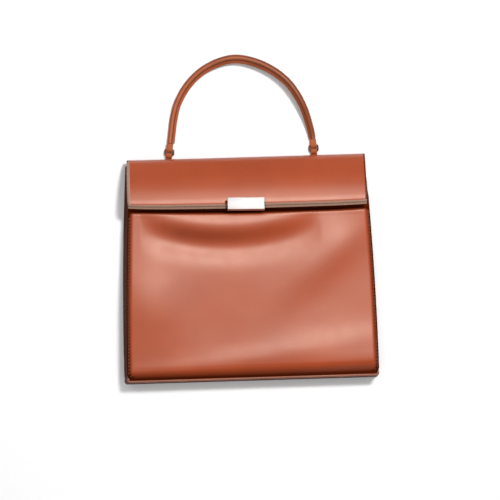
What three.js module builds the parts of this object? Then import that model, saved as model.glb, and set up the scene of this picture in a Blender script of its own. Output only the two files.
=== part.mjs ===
// A slack leather handbag lying on its back: a soft body, a fold-over flap with a clasp, an arched handle.
// Millimetres. X runs across the bag, Y from its base to its handle, Z up from the surface it lies on.
import * as THREE from 'three';

const { lerp, clamp, degToRad, smoothstep } = THREE.MathUtils;

// Body outline, seen from above
const BASE_WIDTH = 256.6;
const TOP_WIDTH = 241;
const BODY_HEIGHT = 225;
const SIDE_BULGE = 2;
const CORNER_RADIUS = 2;
const BACK_TOP = 220;
const HANDLE_TOP = 328.6;

// Leather
const PANEL_THICKNESS = 2.2;
const GUSSET_THICKNESS = 1.6;
const FLAP_THICKNESS = 2.8;
const PIPING_RADIUS = 1.25;
const GAP = 0.3;
const SEAM_CLEARANCE = PIPING_RADIUS + GAP;

// Shares of a seam's way: each side ends at the first, each corner at the second
const SIDE_END = 0.3;
const CORNER_END = 0.4;

// The piping runs along the base and ends just above the corners, where the side strips make room for it
const PIPING_END = 0.2965;
const PIPING_STEPS = 32;
const PIPING_ROOM = { from: 0.265, to: 0.28 };

// The side strips are drawn in between their seams, and they end at the mouth and short of each other
const GUSSET_TUCK = 2.6;
const BASE_TUCK = 0.6;
const STRIP_MOUTH = 0.012;
const STRIP_GAP = 0.0006;
const STRIP_CELLS = { columns: 20, rows: 6 };

// Each panel is narrow beside the piping, and widens above it
const PANEL_WIDENS = { from: 3.6, to: 5 };
const BACK_LOW = PIPING_RADIUS + SEAM_CLEARANCE;
const BACK_STEPS = { count: 24, crowding: 2.5 };

// The front panel stands off the back one, deep at the base and thin at the mouth
const FRONT_CELLS = { columns: 26, rows: 40, sideCrowding: 0.8, baseCrowding: 1.35 };
const FRONT_INSET = 2.9;
const FRONT_SHIFT = { base: 1.9, top: 2.3 };
const FRONT_TUCK = { from: 180, to: 205, by: 1.6 };
const SEAM_DEPTH = { base: 30, mouth: 19 };
const SIDE_ROLL = 6.5;

// Height of the front panel's middle, row by row from the base to the mouth
const FRONT_PROFILE = [
  { y: 5.8, z: 30.4 },
  { y: 7.4, z: 32.4 },
  { y: 9.6, z: 34.2 },
  { y: 12.5, z: 35.5 },
  { y: 16.5, z: 36.2 },
  { y: 22, z: 36.2 },
  { y: 30, z: 35.7 },
  { y: 42, z: 34.9 },
  { y: 60, z: 34 },
  { y: 100, z: 32.8 },
  { y: 130, z: 31.8 },
  { y: 158, z: 30.9 },
  { y: 165, z: 30.6 },
  { y: 168.6, z: 30.2 },
  { y: 171, z: 28.7 },
  { y: 174.5, z: 26.2 },
  { y: 180, z: 24.8 },
  { y: 205, z: 24.2 },
];
const FRONT_LOW = FRONT_PROFILE[0].y;
const FRONT_TOP = FRONT_PROFILE.at(-1).y;

// The roll along the base lies higher on the right: its lean over half of the width, and where it fades out
const ROLL_LEAN = { rise: 4, over: 120, y: 18, fade: 16, start: 4 };

// The dip under the flap follows the flap's edge, from one height on and fully at another
const DIP_FOLLOWS = { from: 140, to: 168 };

// The relief grows from the base seam over this height
const RELIEF_START = 14;

// The sagging fold under the flap: a ridge above a trough, which rises to both sides and fades to the right
const SAG_FOLD = { x: -18, y: 146.5, reach: 90, lift: 17, width: 11.5, rise: 2.9, lean: 0.12 };

// Broad swells of the slack front panel
const SWELLS = [
  { name: 'left side', x: -104, y: 78, long: 36, wide: 44, turn: 0, rise: 4.6 },
  { name: 'low right', x: 96, y: 14, long: 90, wide: 46, turn: 0, rise: 4.2 },
  { name: 'base crease', x: -14, y: 22.5, long: 140, wide: 12, turn: 8.8, rise: 1.2 },
  { name: 'right pull', x: 82, y: 128, long: 54, wide: 20, turn: 40, rise: 3 },
  { name: 'upper right', x: 114, y: 186, long: 20, wide: 24, turn: 0, rise: 3.2 },
];

// The flap's outer face, from its sewn tail round the top fold to its bend, and down its cut edge
const FLAP_PROFILE = [
  { y: 196, z: 2.6 },
  { y: 212, z: 2.7 },
  { y: 221.4, z: 4.8 },
  { y: 225.4, z: 11.5 },
  { y: 223.6, z: 19.6 },
  { y: 216, z: 26.4 },
  { y: 206, z: 33.2 },
  { y: 196, z: 38.3 },
  { y: 187.5, z: 41.4 },
  { y: 182.2, z: 42.8 },
  { y: 179.8, z: 42.9 },
  { y: 175.4, z: 39.8 },
];
const FLAP_BEND = (FLAP_PROFILE.length - 2) / (FLAP_PROFILE.length - 1);
const FLAP_ROWS = 3 * (FLAP_PROFILE.length - 1);
const FLAP_COLUMNS = 14;
const FLAP_HALF_WIDTH = { tail: 113.5, fold: 119.9, edge: 118.2 };
const FLAP_WIDENS = { from: 0.11, to: 0.27 };
const FLAP_SHIFT = { tail: 0.6, edge: 1.2 };
const FLAP_DROOP = { middle: 2, lean: 1.2 };

// The clasp's plate lies on the flap, and its lip turns down in front of the flap's edge
const CLASP = { width: 36.4, height: 11.8, thickness: 2.2, x: 0.1, y: 183.7 };
const CLASP_POSE = { tilt: 10, turn: -1.4, seat: 0.45 };
const CLASP_LIP = { depth: 5.5, thickness: 1.6 };
const CATCH = { width: 18, length: 8, y: 179 };

// The handle's arch, from its left leg to its right one, which stands off the surface
const HANDLE_RADIUS = 3;
const HANDLE_SEAM = { reach: 4.6, half: 0.7 };
const HANDLE_STEPS = 48;
const HANDLE_ARCH = [
  { x: -67.6, y: 280.3, z: 3.8 },
  { x: -52.9, y: 304, z: 4.6 },
  { x: -34, y: 318.4, z: 6.2 },
  { x: -7.7, y: HANDLE_TOP - HANDLE_RADIUS, z: 8.6 },
  { x: 21, y: 318, z: 11 },
  { x: 44.6, y: 301, z: 13 },
  { x: 60.2, y: 276.4, z: 12.6 },
];
const STRAIGHT_LEG = 4;

// The fittings that hold the handle lean with its legs
const FITTINGS = [
  { side: 'left', x: -76, lean: -6.5 },
  { side: 'right', x: 69.7, lean: 3 },
];
const FITTING_Z = 3.45;
const RING = { y: 232.8, width: 10.2, height: 7.4, bar: 1.6, corner: 2.2 };
const RING_BAR_Y = (RING.height - RING.bar) / 2;
const EYE = { hole: 1.45, outer: 2.7, width: 6 };
const HANDLE_END = { length: 6, half: 2.75, shoulder: 3.5 };
const TAB = { thickness: 1.5, tail: BACK_TOP + 2 * GAP };

// Finishes
const leather = { color: 0xb5563a, roughness: 0.42, metalness: 0 };
const darkLeather = { color: 0x8c452d, roughness: 0.5, metalness: 0 };
const nickel = { color: 0xe2dedb, roughness: 0.18, metalness: 1 };
const antiqueBrass = { color: 0x7d5a3f, roughness: 0.35, metalness: 1 };

function piece(name, geometry, finish) {
  const mesh = new THREE.Mesh(geometry, new THREE.MeshStandardMaterial(finish));
  mesh.name = name;
  return mesh;
}

// Half of the body's width at a height above its base
function sideReach(y) {
  const t = y / BODY_HEIGHT;
  return lerp(BASE_WIDTH, TOP_WIDTH, t) / 2 + SIDE_BULGE * 4 * t * (1 - t);
}

function frontReach(y) {
  return sideReach(y) - FRONT_INSET;
}

function frontShift(y) {
  return lerp(FRONT_SHIFT.base, FRONT_SHIFT.top, y / BODY_HEIGHT);
}

// Height of the front seam above the surface that the bag lies on
function frontSeamHeight(y) {
  return lerp(SEAM_DEPTH.base, SEAM_DEPTH.mouth, clamp(y / FRONT_TOP, 0, 1));
}

// A panel's seam: down the left side, round two corners along the base, and up the right side
class PanelSeam extends THREE.Curve {
  constructor({ reach, shift, base, top, heightAt }) {
    super();
    Object.assign(this, { reach, shift, base, top, heightAt });
  }

  getPoint(t, target = new THREE.Vector3()) {
    const side = t < 0.5 ? -1 : 1;
    const way = Math.min(t, 1 - t);
    const cornerY = this.base + CORNER_RADIUS;
    const cornerX = this.reach(cornerY) - PIPING_RADIUS - CORNER_RADIUS;
    let x = lerp(cornerX, 0, (way - CORNER_END) / (0.5 - CORNER_END));
    let y = this.base;
    if (way < SIDE_END) {
      y = lerp(this.top, cornerY, way / SIDE_END);
      x = this.reach(y) - PIPING_RADIUS;
    } else if (way < CORNER_END) {
      const angle = ((way - SIDE_END) / (CORNER_END - SIDE_END)) * (Math.PI / 2);
      x = cornerX + CORNER_RADIUS * Math.cos(angle);
      y = cornerY - CORNER_RADIUS * Math.sin(angle);
    }
    return target.set(side * x + this.shift(y), y, this.heightAt(y));
  }
}

const backSeam = new PanelSeam({
  reach: sideReach,
  shift: () => 0,
  base: PIPING_RADIUS,
  top: BACK_TOP,
  heightAt: () => PIPING_RADIUS,
});

const frontSeam = new PanelSeam({
  reach: frontReach,
  shift: frontShift,
  base: FRONT_LOW - SEAM_CLEARANCE,
  top: FRONT_TOP,
  heightAt: frontSeamHeight,
});

// The stretch of a seam along the base. Its steps follow the seam's way, so the small corners get enough.
class PipingRoute extends THREE.Curve {
  constructor(seam) {
    super();
    this.seam = seam;
  }

  getPoint(t, target) {
    return this.seam.getPoint(lerp(PIPING_END, 1 - PIPING_END, t), target);
  }

  getPointAt(t, target) {
    return this.getPoint(t, target);
  }

  getTangentAt(t, target) {
    return this.getTangent(t, target);
  }
}

function piping(name, seam) {
  const cord = new THREE.Shape().absarc(0, 0, PIPING_RADIUS, 0, 2 * Math.PI);
  const extrudePath = new PipingRoute(seam);
  const options = { steps: PIPING_STEPS, extrudePath, bevelEnabled: false, curveSegments: 4 };
  return piece(name, new THREE.ExtrudeGeometry(cord, options), darkLeather);
}

// A closed wall: a grid of cells on its outer face, another on its inner face, and a rim between them
function wallGeometry(columns, rows, outerAt, innerAt) {
  const positions = [];
  for (const faceAt of [outerAt, innerAt]) {
    for (let j = 0; j <= rows; j++) {
      for (let i = 0; i <= columns; i++) {
        positions.push(...faceAt(i / columns, j / rows).toArray());
      }
    }
  }
  const layer = (columns + 1) * (rows + 1);
  const outer = (i, j) => j * (columns + 1) + i;
  const inner = (i, j) => layer + outer(i, j);
  const triangles = [];
  const quad = (a, b, c, d) => triangles.push(a, b, c, a, c, d);
  for (let j = 0; j < rows; j++) {
    for (let i = 0; i < columns; i++) {
      quad(outer(i, j), outer(i + 1, j), outer(i + 1, j + 1), outer(i, j + 1));
      quad(inner(i, j), inner(i, j + 1), inner(i + 1, j + 1), inner(i + 1, j));
    }
  }
  for (let i = 0; i < columns; i++) {
    quad(outer(i, 0), inner(i, 0), inner(i + 1, 0), outer(i + 1, 0));
    quad(outer(i, rows), outer(i + 1, rows), inner(i + 1, rows), inner(i, rows));
  }
  for (let j = 0; j < rows; j++) {
    quad(outer(0, j), outer(0, j + 1), inner(0, j + 1), inner(0, j));
    quad(outer(columns, j), inner(columns, j), inner(columns, j + 1), outer(columns, j + 1));
  }
  const geometry = new THREE.BufferGeometry();
  geometry.setAttribute('position', new THREE.Float32BufferAttribute(positions, 3));
  geometry.setIndex(triangles);
  geometry.computeVertexNormals();
  return geometry;
}

// The direction out of a face at a point of its grid
function outwardAt(faceAt, a, b) {
  const step = 1e-3;
  const across = faceAt(Math.min(a + step, 1), b).sub(faceAt(Math.max(a - step, 0), b));
  const along = faceAt(a, Math.min(b + step, 1)).sub(faceAt(a, Math.max(b - step, 0)));
  return across.cross(along).normalize();
}

// A wall of even thickness inside a face
function leatherWall(columns, rows, faceAt, thickness) {
  const innerAt = (a, b) => faceAt(a, b).addScaledVector(outwardAt(faceAt, a, b), -thickness);
  return wallGeometry(columns, rows, faceAt, innerAt);
}

// Half of a panel's width at a height: rounded in at its lower corners, and clear of the piping beside them
function panelHalfWidth(reach, low, y) {
  const below = clamp(CORNER_RADIUS - (y - low), 0, CORNER_RADIUS);
  const rounding = CORNER_RADIUS - Math.sqrt(CORNER_RADIUS ** 2 - below ** 2);
  const besidePiping = PIPING_RADIUS + SEAM_CLEARANCE + rounding;
  const widened = smoothstep(y, low + PANEL_WIDENS.from, low + PANEL_WIDENS.to);
  return reach(y) - besidePiping * (1 - widened);
}

function frontHalfWidth(y) {
  const tucked = FRONT_TUCK.by * smoothstep(y, FRONT_TUCK.from, FRONT_TUCK.to);
  return panelHalfWidth(frontReach, FRONT_LOW, y) - tucked;
}

// A smooth curve through a table's heights
function heightInTable(rows, y) {
  const last = rows.length - 1;
  let i = 0;
  while (i < last - 1 && y > rows[i + 1].y) i++;
  const [before, from, to, after] = [i - 1, i, i + 1, i + 2].map((k) => rows[clamp(k, 0, last)]);
  const span = to.y - from.y;
  const t = (y - from.y) / span;
  const startSlope = ((to.z - before.z) / (to.y - before.y)) * span;
  const endSlope = ((after.z - from.z) / (after.y - from.y)) * span;
  const rise = to.z - from.z;
  return from.z + t * startSlope
    + t * t * (3 * rise - 2 * startSlope - endSlope)
    + t * t * t * (startSlope + endSlope - 2 * rise);
}

// Relief of the sagging fold: it fades out towards both sides
function sagFold(x, y) {
  const away = (x - SAG_FOLD.x) / SAG_FOLD.reach;
  const across = (y - SAG_FOLD.y - SAG_FOLD.lift * away * away) / SAG_FOLD.width;
  const fade = clamp(1 - away ** 4, 0, 1) * (1 - SAG_FOLD.lean * away);
  return SAG_FOLD.rise * fade * across * Math.exp((1 - across * across) / 2);
}

function swell({ x, y, long, wide, turn, rise }, px, py) {
  const offset = new THREE.Vector2(px - x, py - y).rotateAround(new THREE.Vector2(), -degToRad(turn));
  return rise * Math.exp(-((offset.x / long) ** 2) - (offset.y / wide) ** 2);
}

// How far the roll along the base is lifted at a place, against its middle
function rollLean(x, y) {
  const { rise, over, fade, start } = ROLL_LEAN;
  const nearBase = Math.exp(-(((y - ROLL_LEAN.y) / fade) ** 2)) * (1 - Math.exp((FRONT_LOW - y) / start));
  return ((rise * x) / over) * nearBase;
}

// How far the flap's cut edge hangs down, from its left end at -1 to its right end at 1
function flapDroop(across) {
  return FLAP_DROOP.middle * (1 - across * across) + FLAP_DROOP.lean * across;
}

// How far the dip under the flap lies above its place in the bag's middle
function dipLift(x, y) {
  const edgeLift = FLAP_DROOP.middle - flapDroop(x / FLAP_HALF_WIDTH.edge);
  return edgeLift * smoothstep(y, DIP_FOLLOWS.from, DIP_FOLLOWS.to);
}

// Height of the front panel's outer face. It rolls down to the seam along each side.
function frontHeight(x, y) {
  const fromSide = frontHalfWidth(y) - Math.abs(x);
  const rolled = Math.sqrt(1 - (1 - clamp(fromSide / SIDE_ROLL, 0, 1)) ** 2);
  const relief = SWELLS.reduce((sum, row) => sum + swell(row, x, y), sagFold(x, y));
  const raised = smoothstep(y, FRONT_LOW, FRONT_LOW + RELIEF_START);
  const level = Math.max(y - rollLean(x, y) - dipLift(x, y), FRONT_LOW);
  const middle = heightInTable(FRONT_PROFILE, level);
  return lerp(frontSeamHeight(y), middle + relief * raised, rolled);
}

// The front panel's outer face: its cells are small at the sides and near the base
function frontFace(a, b) {
  const y = lerp(FRONT_LOW, FRONT_TOP, b ** FRONT_CELLS.baseCrowding);
  const even = 2 * a - 1;
  const x = lerp(even, Math.sin((even * Math.PI) / 2), FRONT_CELLS.sideCrowding) * frontHalfWidth(y);
  return new THREE.Vector3(x + frontShift(y), y, frontHeight(x, y));
}

function frontPanel() {
  const { columns, rows } = FRONT_CELLS;
  return piece('front_panel', leatherWall(columns, rows, frontFace, PANEL_THICKNESS), leather);
}

// The back panel is flat, where it lies on the surface
function backPanel() {
  const right = [];
  for (let step = 0; step <= BACK_STEPS.count; step++) {
    const y = lerp(BACK_LOW, BACK_TOP, (step / BACK_STEPS.count) ** BACK_STEPS.crowding);
    right.push(new THREE.Vector2(panelHalfWidth(sideReach, BACK_LOW, y), y));
  }
  const left = right.map(({ x, y }) => new THREE.Vector2(-x, y)).reverse();
  const outline = new THREE.Shape([...right, ...left]);
  const geometry = new THREE.ExtrudeGeometry(outline, { depth: PANEL_THICKNESS, bevelEnabled: false });
  return piece('back_panel', geometry, leather);
}

// One face of a strip between the two seams, from one place on them to another, drawn in along its middle
function sideStrip(start, end, fromSeam) {
  return (a, b) => {
    const t = lerp(start, end, a);
    const back = backSeam.getPoint(t);
    const front = frontSeam.getPoint(t);
    const tangent = backSeam.getTangent(t);
    const piped = smoothstep(Math.min(t, 1 - t), PIPING_ROOM.from, PIPING_ROOM.to);
    const out = fromSeam - lerp(GUSSET_TUCK, BASE_TUCK, piped) * Math.sin(Math.PI * b);
    const low = lerp(PANEL_THICKNESS + GAP, back.z + SEAM_CLEARANCE, piped);
    const high = front.z - lerp(2 * GAP, SEAM_CLEARANCE, piped);
    const point = back.lerp(front, b);
    return point.set(point.x + tangent.y * out, point.y - tangent.x * out, lerp(low, high, b));
  };
}

function sides() {
  const strips = [
    { name: 'gusset_left', start: STRIP_MOUTH, end: SIDE_END - STRIP_GAP },
    { name: 'base_panel', start: SIDE_END, end: 1 - SIDE_END },
    { name: 'gusset_right', start: 1 - SIDE_END + STRIP_GAP, end: 1 - STRIP_MOUTH },
  ];
  return strips.map(({ name, start, end }) => {
    const outside = sideStrip(start, end, GUSSET_THICKNESS / 2);
    const inside = sideStrip(start, end, -GUSSET_THICKNESS / 2);
    return piece(name, wallGeometry(STRIP_CELLS.columns, STRIP_CELLS.rows, outside, inside), leather);
  });
}

const flapCurve = new THREE.CatmullRomCurve3(
  FLAP_PROFILE.map(({ y, z }) => new THREE.Vector3(0, y, z)),
);

// The tail is narrow enough to lie between the gussets, and the flap is wide where it covers them
function flapHalfWidth(b) {
  const widened = smoothstep(b, FLAP_WIDENS.from, FLAP_WIDENS.to);
  const outside = lerp(FLAP_HALF_WIDTH.fold, FLAP_HALF_WIDTH.edge, b);
  return lerp(FLAP_HALF_WIDTH.tail, outside, widened);
}

function flapFace(a, b) {
  const point = flapCurve.getPoint(b);
  const across = 1 - 2 * a;
  point.x = across * flapHalfWidth(b) + lerp(FLAP_SHIFT.tail, FLAP_SHIFT.edge, b);
  point.y -= flapDroop(across) * b * b;
  return point;
}

function flap() {
  return piece('flap', leatherWall(FLAP_COLUMNS, FLAP_ROWS, flapFace, FLAP_THICKNESS), leather);
}

// Height of the flap's outer face at the bag's middle
function flapHeight(y) {
  let low = 0.5;
  let high = FLAP_BEND;
  for (let halving = 0; halving < 24; halving++) {
    const middle = (low + high) / 2;
    if (flapFace(0.5, middle).y > y) low = middle;
    else high = middle;
  }
  return flapFace(0.5, low).z;
}

// A profile drawn along the bag and upwards, made as wide as it is to reach across the bag
function acrossBag(profile, width, curveSegments = 1) {
  const geometry = new THREE.ExtrudeGeometry(profile, { depth: width, bevelEnabled: false, curveSegments });
  geometry.translate(0, 0, -width / 2);
  geometry.rotateX(Math.PI / 2);
  geometry.rotateZ(Math.PI / 2);
  return geometry;
}

// A flat plate on the flap, turned down in front of the flap's edge
function clasp() {
  const { width, height, thickness, x, y } = CLASP;
  const { tilt, turn, seat } = CLASP_POSE;
  const profile = new THREE.Shape();
  profile.moveTo(0, 0);
  profile.lineTo(0, thickness);
  profile.lineTo(-height, thickness);
  profile.lineTo(-height, -CLASP_LIP.depth);
  profile.lineTo(CLASP_LIP.thickness - height, -CLASP_LIP.depth);
  profile.lineTo(CLASP_LIP.thickness - height, 0);
  const mesh = piece('clasp_plate', acrossBag(profile, width), nickel);
  mesh.position.set(x, y, flapHeight(y) + seat);
  mesh.rotation.set(-degToRad(tilt), 0, degToRad(turn), 'ZYX');
  return mesh;
}

// The catch stands on the front panel, hidden by the flap that it reaches up to
function claspCatch() {
  const { width, length, y } = CATCH;
  const ends = [y, y + length];
  const low = Math.max(...ends.map((end) => frontHeight(CLASP.x - frontShift(end), end))) + GAP;
  const high = flapHeight(y + length) - FLAP_THICKNESS - 2 * GAP;
  const mesh = piece('clasp_catch', new THREE.BoxGeometry(width, length, high - low), nickel);
  mesh.position.set(CLASP.x, y + length / 2, (low + high) / 2);
  return mesh;
}

// A point of the rolled handle's leg, a distance past the end of its fitting's folded handle end
function handleLeg({ x, lean }, past) {
  const way = RING_BAR_Y + HANDLE_END.length + GAP + past;
  const angle = degToRad(lean);
  return new THREE.Vector3(x - way * Math.sin(angle), RING.y + way * Math.cos(angle), FITTING_Z);
}

// A rolled tube whose sewn edges stand out as a fin on the inside of the arch
function handle() {
  const seamAngle = Math.asin(HANDLE_SEAM.half / HANDLE_RADIUS);
  const section = new THREE.Shape();
  section.moveTo(HANDLE_SEAM.half, -HANDLE_SEAM.reach);
  section.absarc(0, 0, HANDLE_RADIUS, seamAngle - Math.PI / 2, 1.5 * Math.PI - seamAngle, false);
  section.lineTo(-HANDLE_SEAM.half, -HANDLE_SEAM.reach);
  const [left, right] = FITTINGS;
  const extrudePath = new THREE.CatmullRomCurve3([
    handleLeg(left, 0),
    handleLeg(left, STRAIGHT_LEG),
    ...HANDLE_ARCH.map(({ x, y, z }) => new THREE.Vector3(x, y, z)),
    handleLeg(right, STRAIGHT_LEG),
    handleLeg(right, 0),
  ]);
  const options = { steps: HANDLE_STEPS, extrudePath, bevelEnabled: false, curveSegments: 6 };
  return piece('handle', new THREE.ExtrudeGeometry(section, options), leather);
}

function roundedRectangle(outline, width, height, radius) {
  const x = width / 2 - radius;
  const y = height / 2 - radius;
  outline.absarc(x, y, radius, 0, Math.PI / 2);
  outline.absarc(-x, y, radius, Math.PI / 2, Math.PI);
  outline.absarc(-x, -y, radius, Math.PI, 1.5 * Math.PI);
  outline.absarc(x, -y, radius, 1.5 * Math.PI, 2 * Math.PI);
  return outline;
}

function ring(name) {
  const { width, height, bar, corner } = RING;
  const outline = roundedRectangle(new THREE.Shape(), width, height, corner);
  const opening = roundedRectangle(new THREE.Path(), width - 2 * bar, height - 2 * bar, corner - bar);
  outline.holes.push(opening);
  const geometry = new THREE.ExtrudeGeometry(outline, { depth: bar, bevelEnabled: false, curveSegments: 3 });
  geometry.translate(0, 0, -bar / 2);
  return piece(name, geometry, antiqueBrass);
}

// A leather profile with an eye for the ring's bar
function eyePiece(name, outline) {
  outline.holes.push(new THREE.Path().absarc(0, 0, EYE.hole, 0, 2 * Math.PI));
  return piece(name, acrossBag(outline, EYE.width, 6), darkLeather);
}

function handleEnd(name) {
  const { length, half, shoulder } = HANDLE_END;
  const outline = new THREE.Shape();
  outline.absarc(0, 0, EYE.outer, Math.PI / 2, 1.5 * Math.PI);
  outline.lineTo(shoulder, -half);
  outline.lineTo(length, -half);
  outline.lineTo(length, half);
  outline.lineTo(shoulder, half);
  const mesh = eyePiece(name, outline);
  mesh.position.y = RING_BAR_Y;
  return mesh;
}

function tab(name) {
  const tail = TAB.tail - (RING.y - RING_BAR_Y);
  const outline = new THREE.Shape();
  outline.moveTo(tail, -EYE.outer);
  outline.absarc(0, 0, EYE.outer, -Math.PI / 2, Math.PI);
  outline.lineTo(-EYE.outer, TAB.thickness - EYE.outer);
  outline.lineTo(tail, TAB.thickness - EYE.outer);
  const mesh = eyePiece(name, outline);
  mesh.position.y = -RING_BAR_Y;
  return mesh;
}

// A ring with the handle's end on its far bar and the bag's tab on its near bar, leaning with the handle's leg
function fitting({ side, x, lean }) {
  const group = new THREE.Group();
  group.position.set(x, RING.y, FITTING_Z);
  group.rotation.z = degToRad(lean);
  group.add(ring(`handle_ring_${side}`), handleEnd(`handle_end_${side}`), tab(`handle_tab_${side}`));
  return group;
}

const bag = new THREE.Group();
bag.position.y = -HANDLE_TOP / 2;
bag.add(
  backPanel(),
  frontPanel(),
  ...sides(),
  piping('front_piping', frontSeam),
  piping('back_piping', backSeam),
  flap(),
  clasp(),
  claspCatch(),
  handle(),
  ...FITTINGS.map(fitting),
);

export default bag;
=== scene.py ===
"""A slack leather handbag lying on its back, dressed over its construction frame."""

import math

import bmesh
import bpy
from bpy.props import FloatProperty, FloatVectorProperty, PointerProperty
from mathutils import Matrix, Vector, noise


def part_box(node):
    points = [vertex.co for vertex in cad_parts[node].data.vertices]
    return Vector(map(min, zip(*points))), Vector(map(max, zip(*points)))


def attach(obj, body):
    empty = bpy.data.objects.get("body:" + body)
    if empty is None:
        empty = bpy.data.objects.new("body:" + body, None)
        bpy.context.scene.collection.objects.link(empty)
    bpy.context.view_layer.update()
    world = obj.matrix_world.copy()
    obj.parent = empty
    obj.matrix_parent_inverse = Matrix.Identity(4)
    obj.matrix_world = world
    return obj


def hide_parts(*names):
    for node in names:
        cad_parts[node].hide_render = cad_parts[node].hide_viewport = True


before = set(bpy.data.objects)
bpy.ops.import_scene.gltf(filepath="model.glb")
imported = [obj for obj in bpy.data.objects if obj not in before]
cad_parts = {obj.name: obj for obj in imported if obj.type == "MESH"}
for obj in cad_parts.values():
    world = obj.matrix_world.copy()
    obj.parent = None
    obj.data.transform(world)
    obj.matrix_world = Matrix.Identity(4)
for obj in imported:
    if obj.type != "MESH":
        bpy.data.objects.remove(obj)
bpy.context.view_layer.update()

bl_info = {
    "name": "Lying Leather Handbag",
    "version": (1, 0, 0),
    "blender": (4, 5, 0),
    "location": "3D View > Sidebar > Handbag",
    "description": "Leather, stitching, metal and studio for a flap handbag that lies on its back",
    "category": "Add Mesh",
}

MM = 0.001
ROOT = "root"

# The bag's own lines run from its base upwards, so the frame's place for the base is added at the end
BASE_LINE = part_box("back_piping")[0].y

# Height of the front panel's middle above the table, from the base to the mouth, in millimetres
FRONT_PROFILE = (
    (5.8, 30.4),
    (7.4, 32.4),
    (9.6, 34.2),
    (12.5, 35.5),
    (16.5, 36.2),
    (22.0, 36.2),
    (30.0, 35.7),
    (42.0, 34.9),
    (60.0, 34.0),
    (100.0, 32.8),
    (130.0, 31.8),
    (158.0, 30.9),
    (164.0, 30.65),
    (168.0, 30.4),
    (169.2, 29.6),
    (170.0, 26.0),
    (171.2, 23.0),
    (174.0, 22.2),
    (205.0, 21.4),
)
FRONT_TOP = FRONT_PROFILE[-1][0]
BACK_TOP = 220.0

# How far the slack front has slid to the right, at the base and at the top
FRONT_SHIFT = (1.9, 2.3)

# The front's upper sides are tucked in under the flap, over a stretch of its height
FRONT_TUCK = {"inwards": 1.6, "from": 180, "over": 25}

# The front's roll at the base rises to the right: its place, reach and slope, and the height it sets in over
BASE_RISE = {"y": 18, "reach": 16, "slope": 4 / 120, "sets_in": 4}

# The front's dip follows the flap's droop above a height, and its folds fade out near the base
DIP = {"from": 140, "over": 28}
FOLDS_FADE = 14

# The sagging fold under the flap: a ridge above a trough, which rises to both sides and fades to the right
SAG_FOLD = {"x": -18, "y": 146.5, "reach": 90, "lift": 17, "width": 11.5, "rise": 2.9, "lean": 0.12}

# Broad swells and hollows of the slack front: place, half lengths, turn in degrees, rise
SWELLS = (
    {"name": "left side", "x": -104, "y": 78, "long": 36, "wide": 44, "turn": 0, "rise": 4.6},
    {"name": "low right", "x": 96, "y": 14, "long": 90, "wide": 46, "turn": 0, "rise": 4.2},
    {"name": "base crease", "x": -14, "y": 22.5, "long": 140, "wide": 12, "turn": 8.8, "rise": 1.2},
    {"name": "right pull", "x": 82, "y": 128, "long": 54, "wide": 20, "turn": 40, "rise": 3.0},
    {"name": "upper right", "x": 114, "y": 186, "long": 20, "wide": 24, "turn": 0, "rise": 3.2},
)

# The flap's outer face, from its sewn tail round the top fold to its bend, and down its cut edge
FLAP_PROFILE = (
    (196.0, 2.6),
    (212.0, 2.7),
    (221.4, 4.8),
    (225.4, 11.5),
    (223.6, 19.6),
    (216.0, 26.4),
    (206.0, 33.2),
    (196.0, 38.3),
    (187.5, 41.4),
    (182.2, 42.8),
    (179.8, 42.9),
    (175.4, 39.8),
)
CUT_EDGE_START = (len(FLAP_PROFILE) - 2) / (len(FLAP_PROFILE) - 1)

# Half of the flap's width at its tail, its fold and its cut edge, and the shares of its way where it widens
FLAP_TAIL_HALF = 113.5
FLAP_FOLD_HALF = 119.9
FLAP_EDGE_HALF = 118.2
FLAP_WIDENS = {"from": 0.11, "over": 0.16}

# How far the flap lies to the right at its tail and its cut edge, and how far that edge droops and leans
FLAP_SHIFT = (0.6, 1.2)
FLAP_DROOP = 2.0
FLAP_LEAN = 1.2

# The flap's left edge is worn round: how wide its bare edge shows, how far it drops, and where it begins
FLAP_SIDE_EDGE = 3.0
FLAP_SIDE_DROP = 1.2
FLAP_SIDE_START = 0.36

# The flap's leather is uneven on its outside alone, past this share of its way
FLAP_OUTSIDE = {"from": 0.35, "over": 0.2}

# The flap's inner layer is skived thinner by this much, so that it doesn't crush inside the bend
BEND_ROOM = 0.6

# The middle of the handle's arch, from its left leg to its right one, which stands off the table
HANDLE_ARCH = (
    (-67.6, 280.3, 3.8),
    (-52.9, 304.0, 4.6),
    (-34.0, 318.4, 6.2),
    (-7.7, 325.6, 8.6),
    (21.0, 318.0, 11.0),
    (44.6, 301.0, 13.0),
    (60.2, 276.4, 12.6),
)
# Width of the rolled handle along its way, from its left end to its right one, as shares of its full width
HANDLE_TAPER = (0.82, 0.86, 0.94, 1.0, 0.96, 0.84, 0.74)

# The handle's sewn ridge and the groove beside it, in shares of its radius and angles from the ridge
HANDLE_RIDGE = {"rise": 0.62, "width": 0.34}
HANDLE_GROOVE = {"angle": 0.78, "depth": 0.12, "width": 0.16}

# The angle from the ridge to the faint crease on the handle's outer side
HANDLE_CREASE = 2.2

# Each handle fitting leans with the handle's leg, in degrees, which is straight for a short way
FITTINGS = (
    {"side": "left", "x": -76.0, "lean": -6.5},
    {"side": "right", "x": 69.7, "lean": 3.0},
)
LEG_STRAIGHT = 4.0

# The rings of round bar, and the eye of the strap that is folded round each bar
RING = {"y": 232.8, "z": 3.45, "width": 10.2, "height": 7.4, "bar": 1.6}
RING_BAR = (RING["height"] - RING["bar"]) / 2
EYE = {"outer": 2.7, "strap": 1.2, "half_width": 3.0}

# The length of a handle end past its ring's bar, and the gap from it to the handle
HANDLE_END = 6.0
HANDLE_GAP = 0.3

# The core of a handle end: where it starts past the ring's bar, and how far it stays inside the strap
CORE = {"past_bar": 2.6, "short_of_end": 0.2, "under_strap": 0.05, "inside_edges": 0.15}

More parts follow.
